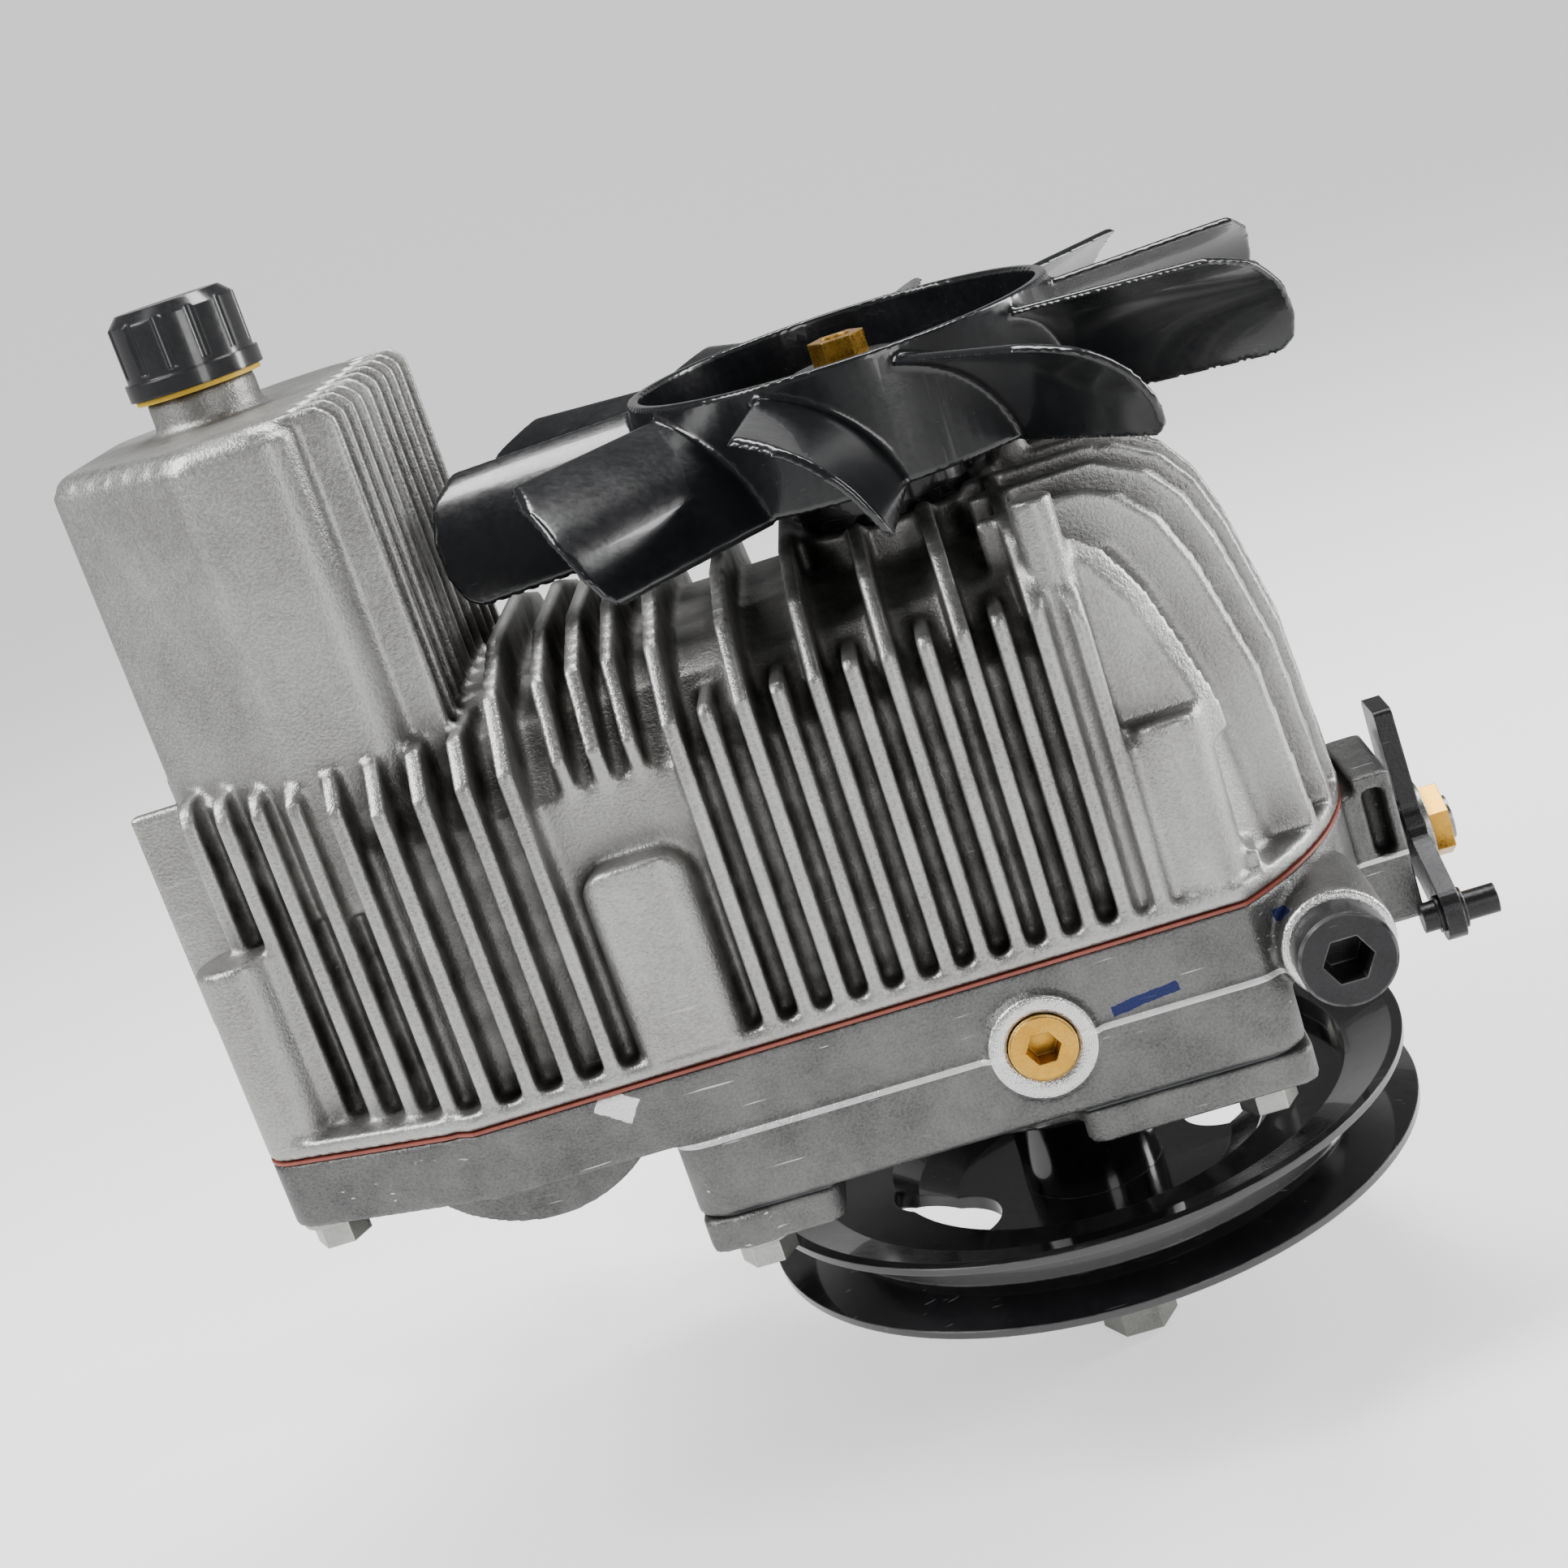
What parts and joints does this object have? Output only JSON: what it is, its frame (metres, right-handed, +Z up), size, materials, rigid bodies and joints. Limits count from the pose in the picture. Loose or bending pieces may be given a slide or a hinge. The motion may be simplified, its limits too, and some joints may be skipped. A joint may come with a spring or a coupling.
{
  "type": "integrated hydrostatic transaxle",
  "caption": "Finned two-piece aluminium transaxle housing with an oil tank, cooling fan, belt pulley, control arm, piston pump and motor, gear train and wheel hub.",
  "frame": {"origin": "input shaft axis at the middle of the belt groove", "axes": "+Z up along the input shaft towards the fan, +X towards the control arm, +Y towards the wheel hub"},
  "size_m": [0.337, 0.275, 0.3572],
  "materials": {
    "cast_bright": "shot-blasted die casting, bright with darker pores",
    "cast_dark": "darker die casting with a fine grain",
    "sealant": "cured anaerobic flange sealant",
    "zinc": "clear zinc plate",
    "gasket": "fibre gasket, matt",
    "cap_plastic": "moulded nylon, glossy",
    "cap_seal": "moulded rubber washer",
    "gold_zinc": "yellow chromate on steel",
    "black_oxide": "black oxide, lightly worn",
    "rubber": "nitrile, matt",
    "ground_steel": "ground steel",
    "bearing_steel": "polished races and shields",
    "bronze": "bearing bronze",
    "forged_steel": "oiled sintered steel",
    "fan_plastic": "moulded nylon, glossy",
    "black_paint": "gloss black powder coat",
    "filter_paper": "pleated paper",
    "hub_iron": "cast iron with a turned face"
  },
  "bodies": {
    "housing": {"upper_housing": "cast_bright", "lower_housing": "cast_dark", "housing_sealant": "sealant", "housing_bolts": "zinc", "bottom_cover": "cast_dark", "cover_gasket": "gasket", "cover_bolts": "zinc", "test_plug": "gold_zinc", "port_plug": "black_oxide", "port_o_ring": "rubber", "center_section": "cast_dark", "center_bolts": "zinc", "input_bearings": "bearing_steel", "input_seals": "rubber", "trunnion_bush": "bronze", "trunnion_seal": "rubber", "charge_pump_body": "cast_dark", "oil_filter": "filter_paper", "motor_swash": "forged_steel", "motor_bearing": "bearing_steel", "shaft_bushes": "bronze", "axle_bearings": "bearing_steel", "shaft_seals": "rubber", "brake_pivot": "zinc"},
    "drive_line": {"input_shaft": "ground_steel", "fan": "fan_plastic", "fan_spacer": "black_paint", "fan_nut": "gold_zinc", "pulley": "black_paint", "pulley_washer": "zinc", "pulley_bolt": "zinc", "pulley_key": "ground_steel", "pump_block": "bronze", "charge_inner_rotor": "forged_steel", "pump_piston_1": "ground_steel", "pump_piston_2": "ground_steel", "pump_piston_3": "ground_steel", "pump_piston_4": "ground_steel", "pump_piston_5": "ground_steel"},
    "control": {"swashplate": "forged_steel", "thrust_race": "ground_steel", "control_arm": "black_oxide", "control_washer": "zinc", "control_nut": "gold_zinc", "control_pin": "black_oxide"},
    "charge_ring": {"charge_outer_rotor": "forged_steel"},
    "motor": {"motor_shaft": "ground_steel", "motor_block": "bronze", "motor_pistons": "ground_steel", "brake_drum": "forged_steel"},
    "intermediate": {"intermediate_gear": "forged_steel", "intermediate_shaft": "ground_steel"},
    "axle": {"axle_shaft": "ground_steel", "bull_gear": "forged_steel", "wheel_hub": "hub_iron", "wheel_studs": "zinc", "hub_nut": "zinc"},
    "brake_arm": {"brake_lever": "black_oxide"},
    "cap_turner": {"cap_seal": "cap_seal"},
    "filler_cap": {"reservoir_cap": "cap_plastic"}
  },
  "joints": [
    {"name": "input_spin", "type": "hinge", "parent": "housing", "child": "drive_line", "pos_m": [0, 0, 0], "axis": [0, 0, 1], "continuous": true},
    {"name": "control_turn", "type": "hinge", "parent": "housing", "child": "control", "pos_m": [0, 0, 0.056], "axis": [1, 0, 0], "range_deg": [-15, 15], "stiffness_Nm_per_rad": 6},
    {"name": "charge_ring_spin", "type": "hinge", "parent": "housing", "child": "charge_ring", "pos_m": [-0.0022, 0, 0.136], "axis": [0, 0, 1], "continuous": true},
    {"name": "axle_spin", "type": "hinge", "parent": "housing", "child": "axle", "pos_m": [-0.138, 0, 0.078], "axis": [0, 1, 0], "continuous": true},
    {"name": "intermediate_spin", "type": "hinge", "parent": "housing", "child": "intermediate", "pos_m": [-0.09571, 0, 0.11842], "axis": [0, 1, 0], "continuous": true},
    {"name": "motor_spin", "type": "hinge", "parent": "housing", "child": "motor", "pos_m": [-0.068, 0, 0.078], "axis": [0, 1, 0], "continuous": true},
    {"name": "brake_turn", "type": "hinge", "parent": "housing", "child": "brake_arm", "pos_m": [-0.046, 0.08, 0.102], "axis": [0, 1, 0], "range_deg": [0, 24], "stiffness_Nm_per_rad": 0.4},
    {"name": "cap_turn", "type": "hinge", "parent": "housing", "child": "cap_turner", "pos_m": [-0.162, 0.005, 0.268], "axis": [0, 0, 1], "range_deg": [0, 720]},
    {"name": "cap_lift", "type": "slide", "parent": "cap_turner", "child": "filler_cap", "axis": [0, 0, 1], "range_m": [0, 0.0079]}
  ],
  "couplings": [
    {"joint": "charge_ring_spin", "follows": "input_spin", "ratio": 0.85714},
    {"joint": "intermediate_spin", "follows": "axle_spin", "ratio": -3.3333},
    {"joint": "motor_spin", "follows": "axle_spin", "ratio": 10},
    {"joint": "cap_turn", "follows": "cap_lift", "rad_per_m": 1590.6}
  ]
}
